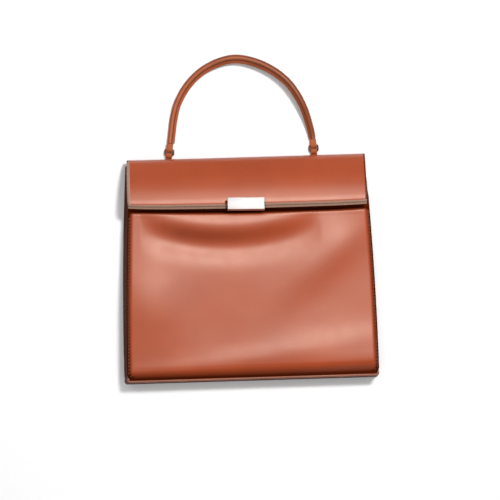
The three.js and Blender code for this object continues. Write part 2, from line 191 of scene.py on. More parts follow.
# The strap of a handle end and of a tab, seen from the side: along its length and up, from the ring's bar
END_STRAP = (
    (5.9, 2.6),
    (4.4, 2.7),
    (2.4, 2.75),
    (0.0, 2.7),
    (-1.9, 1.9),
    (-2.7, 0.0),
    (-1.9, -1.9),
    (0.0, -2.7),
    (2.4, -2.75),
    (4.4, -2.7),
    (5.9, -2.6),
)
TAB_STRAP = (
    (-9.4, -2.65),
    (-4.0, -2.7),
    (0.0, -2.7),
    (1.9, -1.9),
    (2.7, 0.0),
    (1.9, 1.9),
    (0.0, 2.7),
    (-2.0, 1.8),
    (-3.2, 0.0),
    (-5.4, -1.2),
)

# The clasp: the place of its plate's upper edge, its tilt and turn in degrees, its gap to the flap, its bevel
CLASP = {"x": 0.1, "y": 183.7, "tilt": 10.0, "turn": -1.4, "seat": 0.45, "bevel": 0.22}

# The thickness of the clasp's plate, and the lip that turns down over the flap's edge
CLASP_PLATE = 2.2
CLASP_LIP = {"depth": 5.5, "thickness": 1.6}

# The catch between the front and the flap, with a small gap to both
CATCH = {"y": 179.0, "length": 8.0, "half_width": 9.0, "seat": 0.3}

# Painted shadow of the clasp's plate darkens the leather under it, and shows past the plate's left side below
# this height
CLASP_SHADOW = {"x": -1.15, "half_width": 19.4, "top": 182.2}

# Shares of a seam's way from the mouth: where a gusset starts, a side ends, a corner ends and the piping ends
GUSSET_START = 0.012
SIDE_END = 0.3
CORNER_END = 0.4
PIPING_END = 0.2965

# The leather stops a little short of the piping, and a panel widens to its seam above the piping's ends
SEAM_CLEARANCE = 0.06
PIPING_CLEAR = {"height": 3.6, "over": 1.4}

# How far the gussets and the base strip are drawn in between their seams
GUSSET_TUCK = 2.6
BASE_TUCK = 0.6

# How strongly the meshes' rows crowd at the base, and their columns at the sides
FRONT_CROWDING = {"base": 1.35, "sides": 0.8}
BACK_CROWDING = 1.2
FLAP_CROWDING = 0.7

# Waves of the worked leather's unevenness per millimetre, and how far they run across a gusset or the base
LEATHER_WAVES = 0.028
STRIP_SPAN = 40

# Where the flap begins to cover the front, and the height over which painted shadow, dark and matt, sets in
# there
UNDER_FLAP_SHADOW = {"from": 167.3, "over": 2.5}

# Shares of a panel's width from its middle, and of its height, between which painted shade sets in at its
# edges
SHADE_BANDS = {"front_sides": (0.435, 0.465), "flap_sides": (0.472, 0.490), "front_base": (0.035, 0.11)}

# Scales of what shows in calf: pores, wrinkles between them, flecks, changes of polish and clouds of shade
CALF = {"pores": 1300.0, "wrinkles": 260.0, "flecks": 420.0, "polish": 60.0, "clouds": 22.0}
HANDLE_CLOUDS = 45.0

# The warm tint of light mirrored by waxed calf
WAX_TINT = (1.0, 0.94, 0.84)

# Edges that turn by more than this many degrees are rounded
SHARP_EDGE = 50

# The studio: half of the table's width, and the softboxes' places and sizes, all in metres
TABLE_HALF = 6.0
SOFTBOXES = (
    {"name": "strip", "place": (0.10, 0.60, 1.60), "size": (0.95, 0.34), "unseen_in": "diffuse"},
    {"name": "key", "place": (0.40, 0.40, 1.50), "size": (0.2, 0.2), "unseen_in": "glossy"},
    {"name": "fill", "place": (0.0, 0.0, 2.2), "size": (2.4, 2.4), "unseen_in": "glossy"},
)

# The point of the bag's own lines under the camera
CAMERA_AIM = (2.4, 132.0, 0.0)


def mix(low, high, share):
    return low + (high - low) * share


def clamp(value, low=0.0, high=1.0):
    return max(low, min(high, value))


def smooth(value):
    share = clamp(value)
    return share * share * (3 - 2 * share)


def crowded(even, share):
    """A place from -1 to 1, moved towards its end by a share."""
    return mix(even, math.sin(even * math.pi / 2), share)


def at(x, y, z):
    """A point of the bag's own lines, in millimetres, as a place in the frame."""
    return Vector((x * MM, BASE_LINE + y * MM, z * MM))


def height_in_table(rows, y):
    """A smooth curve through a table's heights."""
    last = len(rows) - 1
    i = 0
    while i < last - 1 and y > rows[i + 1][0]:
        i += 1
    before, start, end, after = (rows[int(clamp(k, 0, last))] for k in (i - 1, i, i + 1, i + 2))
    span = end[0] - start[0]
    t = (y - start[0]) / span
    slope_in = (end[1] - before[1]) / (end[0] - before[0]) * span
    slope_out = (after[1] - start[1]) / (after[0] - start[0]) * span
    rise = end[1] - start[1]
    curve = 3 * rise - 2 * slope_in - slope_out
    return start[1] + t * slope_in + t * t * curve + t ** 3 * (slope_in + slope_out - 2 * rise)


def smooth_route(points, share):
    """A centripetal curve through points, evenly shared between them."""
    last = len(points) - 1
    place = clamp(share) * last
    i = min(int(place), last - 1)
    start, end = Vector(points[i]), Vector(points[i + 1])
    before = Vector(points[i - 1]) if i > 0 else 2 * start - end
    after = Vector(points[i + 2]) if i + 2 <= last else 2 * end - start
    spans = [math.sqrt((q - p).length) for p, q in ((before, start), (start, end), (end, after))]
    leave = (start - before) / spans[0] - (end - before) / (spans[0] + spans[1]) + (end - start) / spans[1]
    arrive = (end - start) / spans[1] - (after - start) / (spans[1] + spans[2]) + (after - end) / spans[2]
    leave *= spans[1]
    arrive *= spans[1]
    t = place - i
    curve = 3 * (end - start) - 2 * leave - arrive
    return start + t * leave + t * t * curve + t ** 3 * (2 * (start - end) + leave + arrive)


def superellipse(angle, half_width, half_height):
    """A point of a rectangle with well rounded corners."""
    x, y = math.cos(angle), math.sin(angle)
    sharpness = 0.42
    return (
        math.copysign(abs(x) ** sharpness, x) * half_width,
        math.copysign(abs(y) ** sharpness, y) * half_height,
    )


def sag_fold(x, y):
    """Relief of the sagging fold, fading out towards both sides."""
    away = (x - SAG_FOLD["x"]) / SAG_FOLD["reach"]
    across = (y - SAG_FOLD["y"] - SAG_FOLD["lift"] * away * away) / SAG_FOLD["width"]
    fade = clamp(1 - away ** 4) * (1 - SAG_FOLD["lean"] * away)
    return SAG_FOLD["rise"] * fade * across * math.exp((1 - across * across) / 2)


def swell(row, x, y):
    """Relief of one broad swell or hollow."""
    turn = math.radians(row["turn"])
    dx, dy = x - row["x"], y - row["y"]
    along = dx * math.cos(turn) + dy * math.sin(turn)
    across = dy * math.cos(turn) - dx * math.sin(turn)
    return row["rise"] * math.exp(-((along / row["long"]) ** 2) - (across / row["wide"]) ** 2)


def unevenness(x, y, seed, height):
    """Slight unevenness of worked leather."""
    return height * noise.noise(Vector((x * LEATHER_WAVES, y * LEATHER_WAVES, seed)))


def size_property(name, description, millimetres):
    return FloatProperty(
        name=name, description=description, default=millimetres * MM, unit="LENGTH", precision=4
    )


def colour_property(name, description, default):
    return FloatVectorProperty(
        name=name, description=description, default=default, subtype="COLOR", size=3, min=0.0, max=1.0
    )


class HandbagSizes(bpy.types.PropertyGroup):
    """Sizes of the bag that a user would change."""

    base_width: size_property("Base width", "Width of the body along its base", 256.6)
    top_width: size_property("Top width", "Width of the body along its top fold", 241)
    body_height: size_property("Body height", "Height of the body without its handle", 225)
    side_bulge: size_property("Side bulge", "How far the sides bow out at half height", 2.0)
    base_depth: size_property("Base depth", "Height of the front seam at the base", 30)
    mouth_depth: size_property("Mouth depth", "Height of the front seam at the mouth", 19)
    front_inset: size_property("Front inset", "How far the front's edge lies inside the back's", 2.9)
    corner_radius: size_property("Corner radius", "Radius of the lower corners", 2)
    side_roll: size_property("Side roll", "Width of the roll at the front's sides", 6.5)
    panel_thickness: size_property("Panel thickness", "Thickness of the front and back leather", 2.2)
    gusset_thickness: size_property("Gusset thickness", "Thickness of the side leather", 1.6)
    flap_thickness: size_property("Flap thickness", "Thickness of the doubled flap", 2.8)
    piping_radius: size_property("Piping radius", "Radius of the corded base seams", 1.25)
    handle_radius: size_property("Handle radius", "Radius of the rolled handle", 3.4)
    clasp_width: size_property("Clasp width", "Width of the clasp's plate", 36.4)
    clasp_height: size_property("Clasp height", "Height of the clasp's plate", 11.8)
    stitch_length: size_property("Stitch length", "Length of one stitch", 2.4)
    stitch_pitch: size_property("Stitch pitch", "Distance from one stitch to the next", 3.4)


class HandbagFinishes(bpy.types.PropertyGroup):
    """Colours of the leather, the edges, the thread and the metal."""

    leather: colour_property("Leather", "Chestnut calf", (0.375, 0.054, 0.010))
    leather_deep: colour_property("Leather shade", "Darker clouds in the calf", (0.30, 0.040, 0.007))
    # The gusset colour is the calf darkened as painted shade, for the sides, back, base and back piping
    gusset: colour_property("Gusset", "Duller calf of the folded sides", (0.10, 0.020, 0.008))
    piping: colour_property("Piping", "Rubbed calf over the base cords", (0.24, 0.055, 0.022))
    handle: colour_property("Handle", "Rolled calf of the handle", (0.40, 0.090, 0.028))
    edge: colour_property("Cut edge", "Burnished edge of the doubled flap", (0.44, 0.26, 0.185))
    thread: colour_property("Thread", "Waxed sewing thread", (0.30, 0.11, 0.05))
    nickel: colour_property("Clasp metal", "Satin nickel of the clasp", (0.78, 0.76, 0.77))
    brass: colour_property("Ring metal", "Antiqued brass of the rings", (0.20, 0.11, 0.06))
    table: colour_property("Table", "Pale table under the bag", (0.92, 0.92, 0.92))


class HandbagStudio(bpy.types.PropertyGroup):
    """Camera and light of the studio."""

    camera_height: size_property("Camera height", "Height of the camera over the table", 1920)
    lens: FloatProperty(name="Lens", description="Focal length in millimetres", default=136.8, min=1.0)
    roll: FloatProperty(
        name="Roll", description="Turn of the camera about its axis", default=-0.0305, subtype="ANGLE"
    )
    strip_power: FloatProperty(
        name="Strip power", description="Power of the long softbox at the handle", default=19.0, unit="POWER"
    )
    strip_colour: colour_property("Strip colour", "Colour of the long softbox", (1.0, 0.97, 0.93))
    key_power: FloatProperty(
        name="Key power", description="Power of the small softbox at the right", default=18.0, unit="POWER"
    )
    fill_power: FloatProperty(
        name="Fill power", description="Power of the wide softbox overhead", default=32.0, unit="POWER"
    )
    air: FloatProperty(name="Air", description="Strength of the light from all round", default=0.12, min=0.0)


class BagPattern:
    """The bag's lines, worked out in millimetres from its sizes."""

    def __init__(self, sizes):
        for name in sizes.__annotations__:
            setattr(self, name, getattr(sizes, name) / MM)
        self.seam_gap = self.piping_radius + SEAM_CLEARANCE
        self.front_low = FRONT_PROFILE[0][0]
        self.front_base = self.front_low - self.seam_gap

    def side_reach(self, y):
        share = y / self.body_height
        bow = self.side_bulge * 4 * share * (1 - share)
        return mix(self.base_width, self.top_width, share) / 2 + bow

    def front_reach(self, y):
        return self.side_reach(y) - self.front_inset

    def front_shift(self, y):
        return mix(*FRONT_SHIFT, y / self.body_height)

    def front_seam_height(self, y):
        return mix(self.base_depth, self.mouth_depth, clamp(y / FRONT_TOP))

    def seam(self, which, share):
        """A point of the front or back seam: down the left side, along the base and up the right side."""
        front = which == "front"
        reach = self.front_reach if front else self.side_reach
        base = self.front_base if front else self.piping_radius
        top = FRONT_TOP if front else BACK_TOP
        side = -1 if share < 0.5 else 1
        way = min(share, 1 - share)
        corner_y = base + self.corner_radius
        corner_x = reach(corner_y) - self.piping_radius - self.corner_radius
        if way < SIDE_END:
            y = mix(top, corner_y, way / SIDE_END)
            x = reach(y) - self.piping_radius
        elif way < CORNER_END:
            angle = (way - SIDE_END) / (CORNER_END - SIDE_END) * math.pi / 2
            x = corner_x + self.corner_radius * math.cos(angle)
            y = corner_y - self.corner_radius * math.sin(angle)
        else:
            x = mix(corner_x, 0, (way - CORNER_END) / (0.5 - CORNER_END))
            y = base
        if front:
            return Vector((side * x + self.front_shift(y), y, self.front_seam_height(y)))
        return Vector((side * x, y, self.piping_radius))

    def seam_tangent(self, which, share):
        step = 1e-4
        ahead = self.seam(which, min(share + step, 1))
        behind = self.seam(which, max(share - step, 0))
        return (ahead - behind).normalized()

    def piped(self, share):
        """How much of the piping lies in a seam at a share of its way: none at the sides, all of it below."""
        return smooth((min(share, 1 - share) - PIPING_END) / (SIDE_END - PIPING_END) + 1)

    def panel_half_width(self, reach, low, y):
        """Half of a panel's width: rounded in at its lower corners, and clear of the piping beside them."""
        radius = self.corner_radius
        below = clamp(radius - (y - low), 0, radius)
        rounding = radius - math.sqrt(radius ** 2 - below ** 2)
        beside_piping = self.piping_radius + self.seam_gap + rounding
        above_piping = smooth((y - low - PIPING_CLEAR["height"]) / PIPING_CLEAR["over"])
        return reach(y) - beside_piping * (1 - above_piping)

    def front_half_width(self, y):
        tucked = FRONT_TUCK["inwards"] * smooth((y - FRONT_TUCK["from"]) / FRONT_TUCK["over"])
        return self.panel_half_width(self.front_reach, self.front_low, y) - tucked

    def front_height(self, x, y, from_side):
        """Height of the front's outer face, which rolls down to its seam at both sides."""
        rolled = math.sqrt(1 - (1 - clamp(from_side / self.side_roll)) ** 2)
        above_edge = 1 - math.exp((self.front_low - y) / BASE_RISE["sets_in"])
        near_base = math.exp(-(((y - BASE_RISE["y"]) / BASE_RISE["reach"]) ** 2)) * above_edge
        less_droop = FLAP_DROOP - self.flap_droop(x / FLAP_EDGE_HALF)
        dip_lift = less_droop * smooth((y - DIP["from"]) / DIP["over"])
        level = max(y - BASE_RISE["slope"] * x * near_base - dip_lift, self.front_low)
        relief = sag_fold(x, y) + sum(swell(row, x, y) for row in SWELLS)
        relief *= smooth((y - self.front_low) / FOLDS_FADE)
        return mix(self.front_seam_height(y), height_in_table(FRONT_PROFILE, level) + relief, rolled)

    def front(self, across, up):
        """The front panel's outer face: shares from left to right and from base to mouth."""
        y = mix(self.front_low, FRONT_TOP, up ** FRONT_CROWDING["base"])
        half = self.front_half_width(y)
        x = crowded(2 * across - 1, FRONT_CROWDING["sides"]) * half
        return Vector((x + self.front_shift(y), y, self.front_height(x, y, half - abs(x))))

    @staticmethod
    def flap_droop(even):
        """How far the flap's cut edge hangs down, from its left end at -1 to its right end at 1."""
        return FLAP_DROOP * (1 - even * even) + FLAP_LEAN * even

    @staticmethod
    def flap_spread(across):
        """A place on the flap's width, from 1 at its right to -1 at its left, crowded at both ends."""
        return crowded(1 - 2 * across, FLAP_CROWDING)

    def flap(self, across, down):
        """The flap's outer face: shares from right to left and from its tail to its cut edge."""
        y, z = smooth_route(FLAP_PROFILE, down)
        widened = smooth((down - FLAP_WIDENS["from"]) / FLAP_WIDENS["over"])
        half = mix(FLAP_TAIL_HALF, mix(FLAP_FOLD_HALF, FLAP_EDGE_HALF, down), widened)
        y -= self.flap_droop(1 - 2 * across) * down * down
        x = self.flap_spread(across) * half
        from_left = clamp((half + x) / FLAP_SIDE_EDGE)
        z -= FLAP_SIDE_DROP * (1 - from_left) ** 2 * widened
        return Vector((x + mix(*FLAP_SHIFT, down), y, z))

    def flap_height(self, y):
        """Height of the flap's outer face at the bag's middle, found by halving its way to the cut edge."""
        low, high = 0.5, CUT_EDGE_START
        halvings = 24
        for _ in range(halvings):
            middle = (low + high) / 2
            if self.flap(0.5, middle).y > y:
                low = middle
            else:
                high = middle
        return self.flap(0.5, low).z


class Value:
    """A shader socket on which Python's arithmetic adds Math nodes."""

    def __init__(self, finish, socket):
        self.finish = finish
        self.socket = socket

    def math(self, operation, first, second):
        return self.finish.node("ShaderNodeMath", {"operation": operation}, {0: first, 1: second})

    def __add__(self, other):
        return self.math("ADD", self, other)

    __radd__ = __add__

    def __sub__(self, other):
        return self.math("SUBTRACT", self, other)

    def __rsub__(self, other):
        return self.math("SUBTRACT", other, self)

    def __mul__(self, other):
        return self.math("MULTIPLY", self, other)

    __rmul__ = __mul__

    def __abs__(self):
        return self.finish.node("ShaderNodeMath", {"operation": "ABSOLUTE"}, {0: self})


class Finish:
    """A material whose nodes are added by name, with their settings and inputs."""

    def __init__(self, name):
        self.material = bpy.data.materials.new(name)
        self.material.use_nodes = True
        self.tree = self.material.node_tree
        self.tree.nodes.clear()
        self.shader = self.tree.nodes.new("ShaderNodeBsdfPrincipled")
        self.output = self.tree.nodes.new("ShaderNodeOutputMaterial")
        self.tree.links.new(self.shader.outputs["BSDF"], self.output.inputs["Surface"])

    def feed(self, socket, value):
        if isinstance(value, Value):
            self.tree.links.new(value.socket, socket)
        elif socket.type == "RGBA":
            socket.default_value = (*value[:3], 1.0)
        else:
            socket.default_value = value

    def node(self, kind, settings=None, inputs=None, output=0):
        node = self.tree.nodes.new(kind)
        for name, setting in (settings or {}).items():
            if name == "stops":
                self.set_stops(node.color_ramp, setting)
            else:
                setattr(node, name, setting)
        for name, value in (inputs or {}).items():
            self.feed(node.inputs[name], value)
        return Value(self, node.outputs[output])

    @staticmethod
    def set_stops(ramp, stops):
        while len(ramp.elements) < len(stops):
            ramp.elements.new(0.5)
        for element, (place, grey) in zip(ramp.elements, stops):
            element.position = place
            element.color = (grey, grey, grey, 1.0)

    def surface(self, values):
        for name, value in values.items():
            self.feed(self.shader.inputs[name], value)
        return self.material

    def cover(self, share, values):
        """Lays a second surface over the first, by a share."""
        second = self.node("ShaderNodeBsdfPrincipled", None, values)
        first = Value(self, self.shader.outputs["BSDF"])
        covered = self.node("ShaderNodeMixShader", None, {0: share, 1: first, 2: second})
        self.feed(self.output.inputs["Surface"], covered)

    def place(self):
        return self.node("ShaderNodeTexCoord", output="Object")

    def noise(self, scale, detail=2.0, where=None):
        inputs = {"Vector": where or self.place(), "Scale": scale, "Detail": detail}
        return self.node("ShaderNodeTexNoise", {"noise_dimensions": "3D"}, inputs)

    def share(self, axis):
        """How far across (0) or along (1) a piece's own map a point is."""
        shares = self.node("ShaderNodeTexCoord", output="UV")
        return self.node("ShaderNodeSeparateXYZ", None, {0: shares}, output=axis)

    def bag_place(self, axis):
        """A point's place across (0) or up (1) the bag's own lines, in millimetres."""
        place = self.node("ShaderNodeSeparateXYZ", None, {0: self.place()}, output=axis)
        return (place - (0.0, BASE_LINE)[axis]) * (1 / MM)

    def cells(self, scale):
        inputs = {"Vector": self.place(), "Scale": scale}
        return self.node("ShaderNodeTexVoronoi", {"feature": "SMOOTH_F1"}, inputs)

    def ramp(self, value, *stops):
        return self.node("ShaderNodeValToRGB", {"stops": stops}, {"Fac": value})

    def rise(self, value, start, end):
        """Goes from nothing to all between two values."""
        return self.ramp(value, (start, 0.0), (end, 1.0))

    def fall(self, value, start, end):
        """Goes from all to nothing between two values."""
        return self.ramp(value, (start, 1.0), (end, 0.0))

    def blend(self, low, high, share):
        settings = {"data_type": "RGBA", "blend_type": "MIX"}
        return self.node("ShaderNodeMix", settings, {"Factor": share, 6: low, 7: high}, output=2)

    def bump(self, height, strength, distance):
        return self.node(
            "ShaderNodeBump", None, {"Height": height, "Strength": strength, "Distance": distance}
        )


def shaded(colour, share):
    return tuple(share * part for part in colour)


def calf_leather(name, colour, shade, rough, shine=1.0, painted_shade_share=None, painted_fold_shade=0.0):
    """Smooth calf: soft clouds of darker tone, fine pores, a waxed surface, perhaps painted shade in its
    sagging fold, and perhaps a dark matt cover of painted shade and shadow.
    """
    calf = Finish(name)
    clouds = calf.rise(calf.noise(CALF["clouds"], detail=3.0), 0.35, 0.7)
    pores = calf.cells(CALF["pores"])
    flecks = calf.rise(calf.noise(CALF["flecks"]), 0.5, 0.78)
    tone = calf.blend(colour, shade, clouds * 0.5 + flecks * 0.18)
    # Painted shade darkens the hollow of the sagging fold
    if painted_fold_shade:
        tone = calf.blend(tone, shaded(shade, 0.4), sag_painted_shade(calf) * painted_fold_shade)
    # A dark matt cover of painted shade and shadow, laid over the calf by a share
    if painted_shade_share:
        painted_dark = {"Base Color": shaded(shade, 0.28), "Roughness": 0.7, "Specular IOR Level": 0.0}
        calf.cover(painted_shade_share(calf), painted_dark)
    return calf.surface({
        "Base Color": tone,
        "Roughness": rough - 0.06 + calf.noise(CALF["polish"]) * 0.08 + pores * 0.05,
        "Normal": calf.bump(calf_grain(calf, pores), strength=0.2, distance=0.0001),
        "Specular IOR Level": shine,
        "Specular Tint": WAX_TINT,
    })


def calf_grain(calf, pores):
    """Fine relief of calf: its pores and the wrinkles between them."""
    return pores * 0.7 + calf.noise(CALF["wrinkles"], detail=3.0) * 0.5


def sag_painted_shade(calf):
    """Painted shade in the hollow of the sagging fold, deepest at its left."""
    away = (calf.bag_place(0) - SAG_FOLD["x"]) * (1 / SAG_FOLD["reach"])
    across = (calf.bag_place(1) - SAG_FOLD["y"] - away * away * SAG_FOLD["lift"]) * (1 / SAG_FOLD["width"])
    hollow = calf.fall(abs(across), 0.2, 1.0)
    return hollow * calf.ramp(away * 0.5 + 0.5, (0.05, 0.0), (0.25, 1.0), (0.5, 0.9), (0.85, 0.0))


def painted_side_shade(calf, start, end):
    """Painted shade on the left and right edges of a panel, between two shares from its middle."""
    return calf.rise(abs(calf.share(0) - 0.5), start, end)


def front_painted_shade(calf):
    """Painted shade, dark and matt, on the front's rolled sides and base, and painted shadow on its top that
    the drooping flap covers.
    """
    base = calf.fall(calf.share(1), *SHADE_BANDS["front_base"])
    even = calf.bag_place(0) * (1 / FLAP_EDGE_HALF)
    lift = even * even * FLAP_DROOP - even * FLAP_LEAN
    # Painted shadow under the drooping flap's edge
    covered = (calf.bag_place(1) - lift - UNDER_FLAP_SHADOW["from"]) * (1 / UNDER_FLAP_SHADOW["over"])
    return painted_side_shade(calf, *SHADE_BANDS["front_sides"]) + base + calf.rise(covered, 0.0, 1.0)


def clasp_painted_shadow(finish):
    """Painted shadow of the clasp's plate on the leather under it, with a dark line at the plate's left."""
    past_sides = abs(finish.bag_place(0) - CLASP_SHADOW["x"]) - CLASP_SHADOW["half_width"]
    past_top = CLASP_SHADOW["top"] - finish.bag_place(1)
    return finish.fall(past_sides, 0.0, 0.5) * finish.rise(past_top, 0.0, 1.0)


def flap_painted_shade(calf):
    """Painted shade on the flap's sides, and painted shadow round its clasp."""
    return painted_side_shade(calf, *SHADE_BANDS["flap_sides"]) + clasp_painted_shadow(calf)


def rolled_calf(name, colour):
    """The handle's calf: darker from its left leg towards its right, with painted shade on its half towards
    the table, and darkened along its sewn groove.
    """
    calf = Finish(name)
    turn = calf.share(0)
    # Painted shade on the half of the handle that faces the table
    underside_painted_shade = calf.rise(turn, 0.40, 0.49)
    inner = calf.fall(abs(turn - HANDLE_GROOVE["angle"] / math.tau), 0.018, 0.045)
    outer = calf.fall(abs(turn - HANDLE_CREASE / math.tau), 0.008, 0.028)
    groove = inner + outer * 0.6
    clouds = calf.rise(calf.noise(HANDLE_CLOUDS, detail=3.0), 0.35, 0.7)
    # Darker towards the right leg
    towards_right_leg = calf.rise(calf.share(1), 0.25, 0.6)
    grain = calf_grain(calf, calf.cells(CALF["pores"]))
    toned = calf.blend(colour, shaded(colour, 0.45), clouds * 0.3 + towards_right_leg * 0.6)
    return calf.surface({
        "Base Color": calf.blend(toned, shaded(colour, 0.15), underside_painted_shade * 0.5 + groove * 0.9),
        "Roughness": 0.38 + calf.noise(CALF["polish"]) * 0.1,
        "Normal": calf.bump(grain - groove, strength=0.25, distance=0.0001),
        "Specular Tint": WAX_TINT,
    })


def cut_edge(name, colour):
    """The flap's burnished cut edge, with the dark line between its two layers and painted shadow of the
    clasp's plate.
    """
    edge = Finish(name)
    line = edge.fall(abs(edge.share(1) - (CUT_EDGE_START + 1) / 2), 0.004, 0.011)
    joint_line_and_clasp_shadow = line * 0.75 + clasp_painted_shadow(edge) * 0.9
    mottle = edge.noise(300.0, detail=3.0)
    burnished = edge.blend(colour, shaded(colour, 0.6), mottle)
    return edge.surface({
        "Base Color": edge.blend(burnished, shaded(colour, 0.22), joint_line_and_clasp_shadow),
        "Roughness": 0.45 + mottle * 0.15,
        "Normal": edge.bump(mottle - line, strength=0.3, distance=0.0002),
    })


def rubbed_metal(name, colour, rough, wear):
    """Plated metal with faint rubbed scratches."""
    metal = Finish(name)
    stretch = {"Vector": metal.place(), "Scale": (40.0, 900.0, 900.0)}
    along = metal.node("ShaderNodeMapping", {"vector_type": "POINT"}, stretch)
    scratches = metal.rise(metal.noise(1.6, detail=3.0, where=along), 0.55, 0.75)
    return metal.surface({
        "Base Color": metal.blend(colour, shaded(colour, 0.8), scratches * 0.5),
        "Metallic": 1.0,
        "Roughness": rough + scratches * wear + metal.noise(90.0) * 0.04,
        "Normal": metal.bump(scratches, strength=0.08, distance=0.00004),
    })


def waxed_thread(name, colour):
    """Twisted sewing thread."""
    thread = Finish(name)
    fibres = thread.noise(2600.0)
    return thread.surface({
        "Base Color": thread.blend(colour, shaded(colour, 0.6), fibres),
        "Roughness": 0.6 + fibres * 0.15,
        "Normal": thread.bump(fibres, strength=0.3, distance=0.00005),
    })


def pale_table(name, colour):
    """A matt white table."""
    table = Finish(name)
    return table.surface({
        "Base Color": table.blend(colour, shaded(colour, 0.985), table.noise(8.0)),
        "Roughness": 0.9,
        "Specular IOR Level": 0.1,
    })


def finish_named(name):
    """One of the bag's finishes, made once and then shared."""
    colours = bpy.context.scene.handbag_finishes
    chestnut = (colours.leather, colours.leather_deep)
    gusset = (colours.gusset, shaded(colours.gusset, 0.6))
    handle = (colours.handle, shaded(colours.handle, 0.5))
    piping = (colours.piping, shaded(colours.piping, 0.6))
    makers = {
        "front_calf": lambda: calf_leather(name, *chestnut, rough=0.42, painted_shade_share=front_painted_shade, painted_fold_shade=0.45),
        "flap_calf": lambda: calf_leather(name, *chestnut, rough=0.42, painted_shade_share=flap_painted_shade),
        # Painted shade: the sides, back, base and back piping get calf darkened as if in shade
        "gusset_calf": lambda: calf_leather(name, *gusset, rough=0.6, shine=0.15),
        "handle_calf": lambda: calf_leather(name, *handle, rough=0.55, shine=0.25),
        "rolled_calf": lambda: rolled_calf(name, colours.handle),
        "piping_calf": lambda: calf_leather(name, *piping, rough=0.36),
        "flap_cut_edge": lambda: cut_edge(name, colours.edge),
        "clasp_nickel": lambda: rubbed_metal(name, colours.nickel, rough=0.58, wear=0.05),
        "antique_brass": lambda: rubbed_metal(name, colours.brass, rough=0.34, wear=0.15),
        "waxed_thread": lambda: waxed_thread(name, colours.thread),
        "pale_table": lambda: pale_table(name, colours.table),
    }
    return bpy.data.materials.get(name) or makers[name]()


def mapped_grid(columns, rows, place):
    """A grid whose corners go where a function of two shares puts them, with the shares as its UV map."""
    mesh = bmesh.new()
    mesh.loops.layers.uv.new("shares")
    bmesh.ops.create_grid(mesh, x_segments=columns, y_segments=rows, size=0.5, calc_uvs=True)
    for vert in mesh.verts:
        vert.co = at(*place(vert.co.x + 0.5, vert.co.y + 0.5))
    return mesh


def close_tube(mesh):
    """Joins a mapped tube along its seam, fills its ends and turns its faces outwards."""
    bmesh.ops.remove_doubles(mesh, verts=mesh.verts, dist=1e-6)
    open_edges = [edge for edge in mesh.edges if edge.is_boundary]
    if open_edges:
        bmesh.ops.holes_fill(mesh, edges=open_edges, sides=0)
    bmesh.ops.recalc_face_normals(mesh, faces=mesh.faces)


def mapped_tube(around, along, middle_at, radius_at):
    """A closed tube along a way, from its middle and from its radius at each angle around it."""
    step = 1e-4

    def place(turn, way):
        tangent = middle_at(min(way + step, 1)) - middle_at(max(way - step, 0))
        side = tangent.cross(Vector((0, 0, 1))).normalized()
        up = side.cross(tangent).normalized()
        angle = math.tau * turn
        radius = radius_at(angle, way)
        return middle_at(way) + side * radius * math.cos(angle) + up * radius * math.sin(angle)

    mesh = mapped_grid(around, along, place)
    close_tube(mesh)
    return mesh


def join(meshes):
    """Puts several meshes into the first one."""
    first = meshes[0]
    for other in meshes[1:]:
        copied = bpy.data.meshes.new("joined")
        other.to_mesh(copied)
        other.free()
        first.from_mesh(copied)
        bpy.data.meshes.remove(copied)
    return first


def make_piece(name, mesh, finishes, node=None):
    """Makes a piece of the bag in a material slot, and lets it stand for a construction node."""
    data = bpy.data.meshes.new(name)
    mesh.to_mesh(data)
    mesh.free()
    data.shade_smooth()
    for finish in finishes:
        data.materials.append(finish_named(finish))
    piece = bpy.data.objects.new(name, data)
    bpy.context.scene.collection.objects.link(piece)
    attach(piece, ROOT)
    if node:
        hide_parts(node)
    return piece


def add_wall(piece, thickness, edge_slot=0):
    """Gives a leather face its thickness inwards."""
    wall = piece.modifiers.new("leather wall", "SOLIDIFY")
    wall.thickness = thickness * MM
    wall.offset = -1.0
    wall.use_even_offset = True
    wall.material_offset_rim = edge_slot


def round_edges(piece, width):
    """Rounds the sharp edges of a leather piece."""
    bevel = piece.modifiers.new("rounded edge", "BEVEL")
    bevel.width = width * MM
    bevel.segments = 3
    bevel.limit_method = "ANGLE"
    bevel.angle_limit = math.radians(SHARP_EDGE)
    bevel.harden_normals = True


class HANDBAG_OT_front_panel(bpy.types.Operator):
    """Make the slack front panel with its folds"""

    bl_idname = "handbag.front_panel"
    bl_label = "Front Panel"

    even_margin = 0.1

    def execute(self, context):
        pattern = BagPattern(context.scene.handbag_sizes)

        def place(across, up):
            point = pattern.front(across, up)
            inside = smooth(min(across, 1 - across, up) / self.even_margin)
            point.z += unevenness(point.x, point.y, seed=3.0, height=0.25) * inside
            return point

        mesh = mapped_grid(columns=140, rows=260, place=place)
        panel = make_piece("front_leather", mesh, ["front_calf"], "front_panel")
        add_wall(panel, pattern.panel_thickness)
        return {"FINISHED"}


class HANDBAG_OT_back_panel(bpy.types.Operator):
    """Make the flat back panel that the bag lies on"""

    bl_idname = "handbag.back_panel"
    bl_label = "Back Panel"

    def execute(self, context):
        pattern = BagPattern(context.scene.handbag_sizes)
        low = pattern.piping_radius + pattern.seam_gap

        def place(across, up):
            y = mix(low, BACK_TOP, up ** BACK_CROWDING)
            half = pattern.panel_half_width(pattern.side_reach, low, y)
            return Vector((mix(-half, half, across), y, pattern.panel_thickness))

        mesh = mapped_grid(columns=60, rows=100, place=place)
        panel = make_piece("back_leather", mesh, ["gusset_calf"], "back_panel")
        add_wall(panel, pattern.panel_thickness)
        round_edges(panel, width=0.5)
        return {"FINISHED"}


